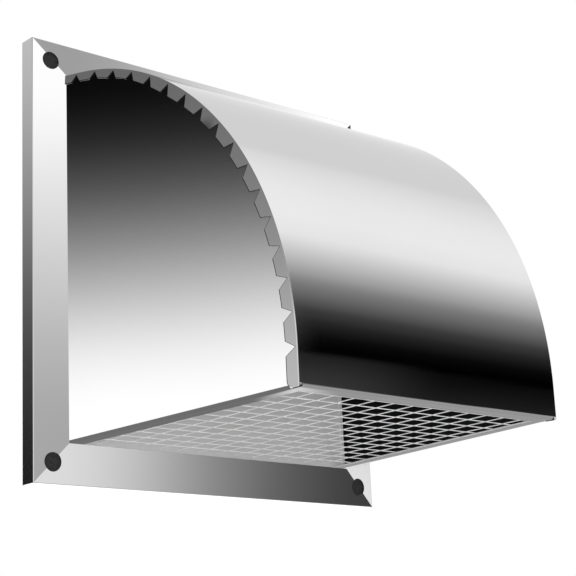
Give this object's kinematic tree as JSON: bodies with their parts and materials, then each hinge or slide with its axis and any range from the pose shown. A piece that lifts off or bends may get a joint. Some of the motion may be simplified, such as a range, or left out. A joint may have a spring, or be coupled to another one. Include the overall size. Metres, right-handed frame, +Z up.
{
  "type": "wall vent hood",
  "caption": "Wall flange with a curved stainless hood, toothed side tabs, wire screen below, and a hinged flap damper on a round duct collar.",
  "frame": {"origin": "on the wall plane, in the middle of the four screw holes", "axes": "+Z up, -Y out of the wall along the hood, +X to the right as seen from outside"},
  "size_m": [0.23, 0.2143, 0.237],
  "materials": {
    "stainless_frame": "polished",
    "stainless_hood": "mirror polished",
    "stainless_inside": "satin",
    "screen_wire": "bright wire",
    "hinge_steel": "satin",
    "seal_rubber": "matt",
    "gasket_foam": "matt closed-cell foam"
  },
  "bodies": {
    "housing": {"flange_frame": "stainless_frame", "hood_sheet": "stainless_hood", "left_cheek": "stainless_hood", "right_cheek": "stainless_hood", "back_plate": "stainless_inside", "duct_collar": "stainless_inside", "wire_screen": "screen_wire", "hinge_rod": "hinge_steel", "left_rod_clip": "hinge_steel", "right_rod_clip": "hinge_steel", "left_hinge_ear": "stainless_inside", "right_hinge_ear": "stainless_inside", "damper_seal": "seal_rubber", "wall_gasket": "gasket_foam"},
    "damper": {"damper_flap": "stainless_inside"}
  },
  "joints": [
    {"name": "damper_swing", "type": "hinge", "parent": "housing", "child": "damper", "pos_m": [0, -0.01321, 0.0725], "axis": [-1, 0, 0], "range_deg": [0, 70]}
  ]
}
